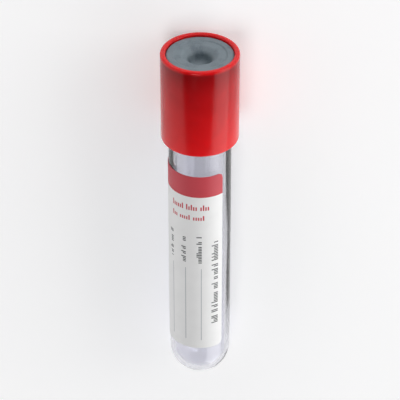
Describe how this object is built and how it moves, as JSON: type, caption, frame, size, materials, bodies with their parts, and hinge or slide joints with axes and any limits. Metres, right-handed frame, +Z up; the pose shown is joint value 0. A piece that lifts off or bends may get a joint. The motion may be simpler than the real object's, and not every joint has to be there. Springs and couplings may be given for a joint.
{
  "type": "blood collection tube",
  "caption": "Capped vacuum blood collection tube with a round closed end, lying on its side: clear tube, paper label, grey rubber stopper and red plastic cap.",
  "frame": {"origin": "on the surface that the tube lies on, under the middle of its box", "axes": "+X along the tube towards the closure, +Z up; the tube's axis rises 1.54 degrees towards +X, because it rests on its closed end and on the cap's lower edge"},
  "size_m": [0.0808, 0.0156, 0.0162],
  "materials": {
    "tube_plastic": "gloss",
    "stopper_rubber": "matte",
    "cap_plastic": "gloss",
    "label_paper": "satin"
  },
  "bodies": {
    "vessel": {"tube": "tube_plastic", "label": "label_paper"},
    "closure": {"cap": "cap_plastic", "stopper": "stopper_rubber"}
  },
  "joints": [
    {"name": "closure_pull", "type": "slide", "parent": "vessel", "child": "closure", "axis": [0.9996, 0, 0.0268], "range_m": [0, 0.022]}
  ]
}
